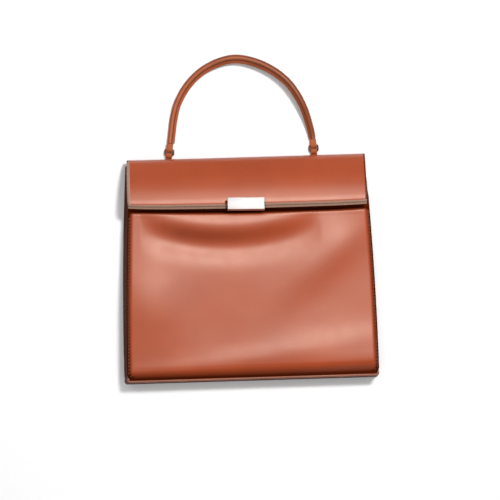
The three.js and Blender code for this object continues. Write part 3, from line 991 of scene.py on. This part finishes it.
class HANDBAG_OT_sides(bpy.types.Operator):
    """Make the two gussets and the base strip between the seams"""

    bl_idname = "handbag.sides"
    bl_label = "Gussets and Base"

    strips = (
        {"node": "gusset_left", "piece": "gusset_leather_left", "way": (GUSSET_START, SIDE_END)},
        {"node": "base_panel", "piece": "base_leather", "way": (SIDE_END, 1 - SIDE_END)},
        {"node": "gusset_right", "piece": "gusset_leather_right", "way": (1 - SIDE_END, 1 - GUSSET_START)},
    )

    def execute(self, context):
        pattern = BagPattern(context.scene.handbag_sizes)
        for number, strip in enumerate(self.strips):
            place = self.strip_place(pattern, strip["way"], seed=float(number))
            mesh = mapped_grid(columns=110, rows=24, place=place)
            piece = make_piece(strip["piece"], mesh, ["gusset_calf"], strip["node"])
            add_wall(piece, pattern.gusset_thickness)
        return {"FINISHED"}

    @staticmethod
    def strip_place(pattern, way, seed):
        """Where a strip between the seams lies: shares along the seams and from the back to the front."""

        def place(along, up):
            share = mix(*way, along)
            back = pattern.seam("back", share)
            front = pattern.seam("front", share)
            tangent = pattern.seam_tangent("back", share)
            piped = pattern.piped(share)
            belly = math.sin(math.pi * up)
            point = back.lerp(front, up)
            out = pattern.gusset_thickness / 2 - mix(GUSSET_TUCK, BASE_TUCK, piped) * belly
            out += belly * unevenness(point.x + point.y, STRIP_SPAN * up, seed, height=0.5)
            low = mix(pattern.panel_thickness, back.z + pattern.seam_gap, piped)
            high = front.z - mix(0, pattern.seam_gap, piped)
            return Vector((point.x + tangent.y * out, point.y - tangent.x * out, mix(low, high, up)))

        return place


class HANDBAG_OT_piping(bpy.types.Operator):
    """Make the corded seams along the base"""

    bl_idname = "handbag.piping"
    bl_label = "Piping"

    rounded_end = 0.012
    pucker_depth = 0.015
    pucker_radians = 1100

    def execute(self, context):
        pattern = BagPattern(context.scene.handbag_sizes)
        for which, finish in (("front", "piping_calf"), ("back", "gusset_calf")):
            middle = self.cord_middle(pattern, which)
            mesh = mapped_tube(around=14, along=300, middle_at=middle, radius_at=self.cord_radius(pattern))
            name = f"{which}_piping"
            make_piece(f"{name}_cord", mesh, [finish], name)
        return {"FINISHED"}

    @staticmethod
    def cord_middle(pattern, which):
        return lambda along: pattern.seam(which, mix(PIPING_END, 1 - PIPING_END, along))

    def cord_radius(self, pattern):
        """The cord's radius, puckered by its stitches and rounded off at its ends."""

        def radius(angle, along):
            from_end = clamp(min(along, 1 - along) / self.rounded_end)
            pucker = 1 - self.pucker_depth * (1 - math.cos(along * self.pucker_radians))
            return pattern.piping_radius * pucker * math.sqrt(1 - (1 - from_end) ** 2)

        return radius


class HANDBAG_OT_flap(bpy.types.Operator):
    """Make the fold-over flap with its burnished cut edge"""

    bl_idname = "handbag.flap"
    bl_label = "Flap"

    def execute(self, context):
        pattern = BagPattern(context.scene.handbag_sizes)

        def place(across, down):
            point = pattern.flap(across, down)
            outside = smooth((down - FLAP_OUTSIDE["from"]) / FLAP_OUTSIDE["over"])
            point.z += outside * unevenness(point.x, point.y, seed=9.0, height=0.25)
            return point

        mesh = mapped_grid(columns=160, rows=121, place=place)
        shares = mesh.loops.layers.uv.active
        for face in mesh.faces:
            across, down = sum((loop[shares].uv for loop in face.loops), Vector((0, 0))) / len(face.loops)
            from_left = (1 + pattern.flap_spread(across)) * FLAP_EDGE_HALF
            at_side = from_left < FLAP_SIDE_EDGE and down > FLAP_SIDE_START
            face.material_index = int(down > CUT_EDGE_START or at_side)
        flap = make_piece("flap_leather", mesh, ["flap_calf", "flap_cut_edge"], "flap")
        add_wall(flap, pattern.flap_thickness - BEND_ROOM, edge_slot=1)
        round_edges(flap, width=0.4)
        return {"FINISHED"}


class HANDBAG_OT_clasp(bpy.types.Operator):
    """Make the bare clasp plate and the catch under it"""

    bl_idname = "handbag.clasp"
    bl_label = "Clasp"

    def execute(self, context):
        pattern = BagPattern(context.scene.handbag_sizes)
        plate = self.extruded(self.plate_outline(pattern), pattern.clasp_width)
        seat = pattern.flap_height(CLASP["y"]) + CLASP["seat"]
        turn = Matrix.Rotation(math.radians(CLASP["turn"]), 4, "Z")
        tilt = Matrix.Rotation(math.radians(-CLASP["tilt"]), 4, "X")
        place = Matrix.Translation(at(CLASP["x"], CLASP["y"], seat))
        bmesh.ops.transform(plate, matrix=place @ turn @ tilt, verts=plate.verts)
        make_piece("clasp_nickel_plate", plate, ["clasp_nickel"], "clasp_plate")

        length = CATCH["length"]
        near, far = CATCH["y"], CATCH["y"] + length
        low = max(pattern.front_height(0, y, pattern.side_roll) for y in (near, far)) + CATCH["seat"]
        height = pattern.flap_height(far) - pattern.flap_thickness - 2 * CATCH["seat"] - low
        outline = ((0, 0), (0, height), (length, height), (length, 0))
        catch = self.extruded(outline, 2 * CATCH["half_width"])
        bmesh.ops.translate(catch, vec=at(CLASP["x"], CATCH["y"], low), verts=catch.verts)
        make_piece("clasp_nickel_catch", catch, ["clasp_nickel"], "clasp_catch")
        return {"FINISHED"}

    @staticmethod
    def plate_outline(pattern):
        low = -pattern.clasp_height
        lip = low + CLASP_LIP["thickness"]
        depth = -CLASP_LIP["depth"]
        return ((0, 0), (0, CLASP_PLATE), (low, CLASP_PLATE), (low, depth), (lip, depth), (lip, 0))

    @staticmethod
    def extruded(outline, width):
        """A side outline of lengths and heights, extruded over a width and rounded along its edges."""
        mesh = bmesh.new()
        corners = [mesh.verts.new(Vector((-width / 2, y, z)) * MM) for y, z in outline]
        face = mesh.faces.new(corners)
        made = bmesh.ops.extrude_face_region(mesh, geom=[face], use_keep_orig=True)
        moved = [item for item in made["geom"] if isinstance(item, bmesh.types.BMVert)]
        bmesh.ops.translate(mesh, vec=Vector((width * MM, 0, 0)), verts=moved)
        bmesh.ops.recalc_face_normals(mesh, faces=mesh.faces)
        bmesh.ops.bevel(
            mesh,
            geom=mesh.edges[:],
            offset=CLASP["bevel"] * MM,
            affect="EDGES",
            segments=3,
            profile=0.5,
            material=-1,
        )
        return mesh


class HANDBAG_OT_handle(bpy.types.Operator):
    """Make the rolled handle with its sewn ridge"""

    bl_idname = "handbag.handle"
    bl_label = "Handle"

    def execute(self, context):
        pattern = BagPattern(context.scene.handbag_sizes)
        left, right = FITTINGS
        route = [
            self.leg(left, 0),
            self.leg(left, LEG_STRAIGHT),
            *HANDLE_ARCH,
            self.leg(right, LEG_STRAIGHT),
            self.leg(right, 0),
        ]

        def middle(way):
            return smooth_route(route, way)

        def radius(angle, way):
            from_ridge = abs((angle + math.pi) % math.tau - math.pi)
            from_groove = (from_ridge - HANDLE_GROOVE["angle"]) / HANDLE_GROOVE["width"]
            ridge = HANDLE_RIDGE["rise"] * math.exp(-((from_ridge / HANDLE_RIDGE["width"]) ** 2))
            groove = HANDLE_GROOVE["depth"] * math.exp(-(from_groove ** 2))
            taper = height_in_table(list(enumerate(HANDLE_TAPER)), way * (len(HANDLE_TAPER) - 1))
            return pattern.handle_radius * taper * (1 + ridge - groove)

        mesh = mapped_tube(around=48, along=220, middle_at=middle, radius_at=radius)
        make_piece("handle_rolled_calf", mesh, ["rolled_calf"], "handle")
        return {"FINISHED"}

    @staticmethod
    def leg(fitting, past):
        """A point on a handle's leg, past its fitting's end."""
        lean = math.radians(fitting["lean"])
        way = RING_BAR + HANDLE_END + HANDLE_GAP + past
        return (fitting["x"] - math.sin(lean) * way, RING["y"] + math.cos(lean) * way, RING["z"])


class HANDBAG_OT_fittings(bpy.types.Operator):
    """Make the two rings, the handle's folded ends and the tabs that hold them"""

    bl_idname = "handbag.fittings"
    bl_label = "Handle Fittings"

    def execute(self, context):
        for fitting in FITTINGS:
            side = fitting["side"]
            end = join([self.strap(fitting, END_STRAP, RING_BAR), self.core(fitting)])
            tab = self.strap(fitting, TAB_STRAP, -RING_BAR)
            ring = self.ring(fitting)
            make_piece(f"folded_end_{side}", end, ["handle_calf"], f"handle_end_{side}")
            make_piece(f"sewn_tab_{side}", tab, ["handle_calf"], f"handle_tab_{side}")
            make_piece(f"brass_ring_{side}", ring, ["antique_brass"], f"handle_ring_{side}")
        return {"FINISHED"}

    @staticmethod
    def placed(fitting, x, y, z):
        """A point of a leaning fitting, from its ring's middle."""
        lean = math.radians(fitting["lean"])
        across = fitting["x"] + x * math.cos(lean) - y * math.sin(lean)
        up = RING["y"] + y * math.cos(lean) + x * math.sin(lean)
        return Vector((across, up, RING["z"] + z))

    def strap(self, fitting, route, bar):
        """A strap folded round one of the ring's bars."""

        def place(along, across):
            y, z = smooth_route(route, along)
            return self.placed(fitting, mix(-1, 1, across) * EYE["half_width"], bar + y, z)

        mesh = mapped_grid(columns=60, rows=8, place=place)
        bmesh.ops.recalc_face_normals(mesh, faces=mesh.faces)
        bmesh.ops.solidify(mesh, geom=mesh.faces[:], thickness=EYE["strap"] * MM)
        bmesh.ops.recalc_face_normals(mesh, faces=mesh.faces)
        return mesh

    def core(self, fitting):
        """The leather that fills a handle end between its two layers."""
        half_height = EYE["outer"] - EYE["strap"] - CORE["under_strap"]
        half_width = EYE["half_width"] - CORE["inside_edges"]
        start = RING_BAR + CORE["past_bar"]
        end = RING_BAR + HANDLE_END - CORE["short_of_end"]

        def place(turn, way):
            x, z = superellipse(math.tau * turn, half_width, half_height)
            return self.placed(fitting, x, mix(start, end, way), z)

        mesh = mapped_grid(columns=32, rows=8, place=place)
        close_tube(mesh)
        return mesh

    def ring(self, fitting):
        """A rounded ring of round bar."""
        half_width = (RING["width"] - RING["bar"]) / 2
        step = 1e-3

        def place(turn, way):
            angle = math.tau * way
            here = Vector(superellipse(angle, half_width, RING_BAR))
            ahead = Vector(superellipse(angle + step, half_width, RING_BAR))
            behind = Vector(superellipse(angle - step, half_width, RING_BAR))
            tangent = (ahead - behind).normalized()
            outwards = Vector((tangent.y, -tangent.x))
            around = math.tau * turn
            x, y = here + outwards * RING["bar"] / 2 * math.cos(around)
            return self.placed(fitting, x, y, RING["bar"] / 2 * math.sin(around))

        mesh = mapped_grid(columns=14, rows=96, place=place)
        close_tube(mesh)
        return mesh


class HANDBAG_OT_stitching(bpy.types.Operator):
    """Sew the stitches along both sides of the front"""

    bl_idname = "handbag.stitching"
    bl_label = "Stitching"

    first, last = 10.0, 170.0
    from_edge = 2.2
    half_width = 0.42

    def execute(self, context):
        pattern = BagPattern(context.scene.handbag_sizes)
        seam = bmesh.new()
        count = int((self.last - self.first) / pattern.stitch_pitch)
        for side in (-1, 1):
            for number in range(count):
                self.sew(seam, pattern, side, self.first + number * pattern.stitch_pitch)
        make_piece("side_stitches", seam, ["waxed_thread"])
        return {"FINISHED"}

    def sew(self, seam, pattern, side, y):
        """Lays one stitch on the front's rolled edge."""

        def on_edge(up, inwards):
            x = side * (pattern.front_half_width(up) - self.from_edge - inwards)
            height = pattern.front_height(x, up, self.from_edge + inwards)
            return at(x + pattern.front_shift(up), up, height)

        step, inset = 0.5, 0.2
        along = (on_edge(y + step, 0) - on_edge(y - step, 0)).normalized()
        inwards = (on_edge(y, inset) - on_edge(y, -inset)).normalized()
        up = inwards.cross(along) * side
        across = up.cross(along)
        turn = Matrix((along, across, up)).transposed().to_4x4()
        size = Matrix.Diagonal((pattern.stitch_length / 2, self.half_width, self.half_width, 1.0))
        size = Matrix.Scale(MM, 4) @ size
        made = bmesh.ops.create_uvsphere(seam, u_segments=6, v_segments=4, radius=1.0)
        bmesh.ops.transform(
            seam, matrix=Matrix.Translation(on_edge(y, 0)) @ turn @ size, verts=made["verts"]
        )


class HANDBAG_OT_stage(bpy.types.Operator):
    """Make the pale table, the soft lights and the camera"""

    bl_idname = "handbag.stage"
    bl_label = "Stage"

    def execute(self, context):
        scene = context.scene
        studio = scene.handbag_studio
        self.table(scene)
        lights = {row["name"]: self.softbox(scene, studio, row) for row in SOFTBOXES}
        lights["strip"].data.color = studio.strip_colour
        world = bpy.data.worlds.new("studio_air")
        world.use_nodes = True
        air = world.node_tree.nodes["Background"].inputs
        air["Color"].default_value = (1.0, 1.0, 1.0, 1.0)
        air["Strength"].default_value = studio.air
        scene.world = world
        scene.view_settings.view_transform = "Standard"
        self.camera(scene, studio)
        return {"FINISHED"}

    @staticmethod
    def table(scene):
        mesh = bmesh.new()
        bmesh.ops.create_grid(mesh, x_segments=1, y_segments=1, size=TABLE_HALF)
        data = bpy.data.meshes.new("table")
        mesh.to_mesh(data)
        mesh.free()
        data.materials.append(finish_named("pale_table"))
        table = bpy.data.objects.new("table", data)
        scene.collection.objects.link(table)

    @staticmethod
    def softbox(scene, studio, row):
        """A softbox that faces the bag, and that either gloss or matt surfaces don't see."""
        name = f"{row['name']} softbox"
        lamp = bpy.data.lights.new(name, "AREA")
        lamp.shape = "RECTANGLE"
        lamp.size, lamp.size_y = row["size"]
        lamp.energy = getattr(studio, f"{row['name']}_power")
        light = bpy.data.objects.new(name, lamp)
        light.location = row["place"]
        light.rotation_euler = (-Vector(row["place"])).to_track_quat("-Z", "Y").to_euler()
        setattr(light, f"visible_{row['unseen_in']}", False)
        scene.collection.objects.link(light)
        return light

    @staticmethod
    def camera(scene, studio):
        lens = bpy.data.cameras.new("overhead camera")
        lens.lens = studio.lens
        camera = bpy.data.objects.new("overhead camera", lens)
        aim = at(*CAMERA_AIM)
        camera.location = (aim.x, aim.y, studio.camera_height)
        camera.rotation_euler = (0.0, 0.0, studio.roll)
        scene.collection.objects.link(camera)
        scene.camera = camera


PIECE_OPERATORS = (
    HANDBAG_OT_front_panel,
    HANDBAG_OT_back_panel,
    HANDBAG_OT_sides,
    HANDBAG_OT_piping,
    HANDBAG_OT_flap,
    HANDBAG_OT_clasp,
    HANDBAG_OT_handle,
    HANDBAG_OT_fittings,
    HANDBAG_OT_stitching,
    HANDBAG_OT_stage,
)


class HANDBAG_PT_pieces(bpy.types.Panel):
    """Lists the bag's pieces, sizes and finishes"""

    bl_label = "Handbag"
    bl_idname = "HANDBAG_PT_pieces"
    bl_space_type = "VIEW_3D"
    bl_region_type = "UI"
    bl_category = "Handbag"

    def draw(self, context):
        for operator in PIECE_OPERATORS:
            self.layout.operator(operator.bl_idname)
        scene = context.scene
        for group in (scene.handbag_sizes, scene.handbag_finishes, scene.handbag_studio):
            box = self.layout.box()
            for name in group.__annotations__:
                box.prop(group, name)


CLASSES = (HandbagSizes, HandbagFinishes, HandbagStudio, *PIECE_OPERATORS, HANDBAG_PT_pieces)


def register():
    for cls in CLASSES:
        bpy.utils.register_class(cls)
    bpy.types.Scene.handbag_sizes = PointerProperty(type=HandbagSizes)
    bpy.types.Scene.handbag_finishes = PointerProperty(type=HandbagFinishes)
    bpy.types.Scene.handbag_studio = PointerProperty(type=HandbagStudio)


def unregister():
    del bpy.types.Scene.handbag_studio
    del bpy.types.Scene.handbag_finishes
    del bpy.types.Scene.handbag_sizes
    for cls in reversed(CLASSES):
        bpy.utils.unregister_class(cls)


def main():
    register()
    for operator in PIECE_OPERATORS:
        group, name = operator.bl_idname.split(".")
        getattr(getattr(bpy.ops, group), name)()


if __name__ == "__main__":
    main()
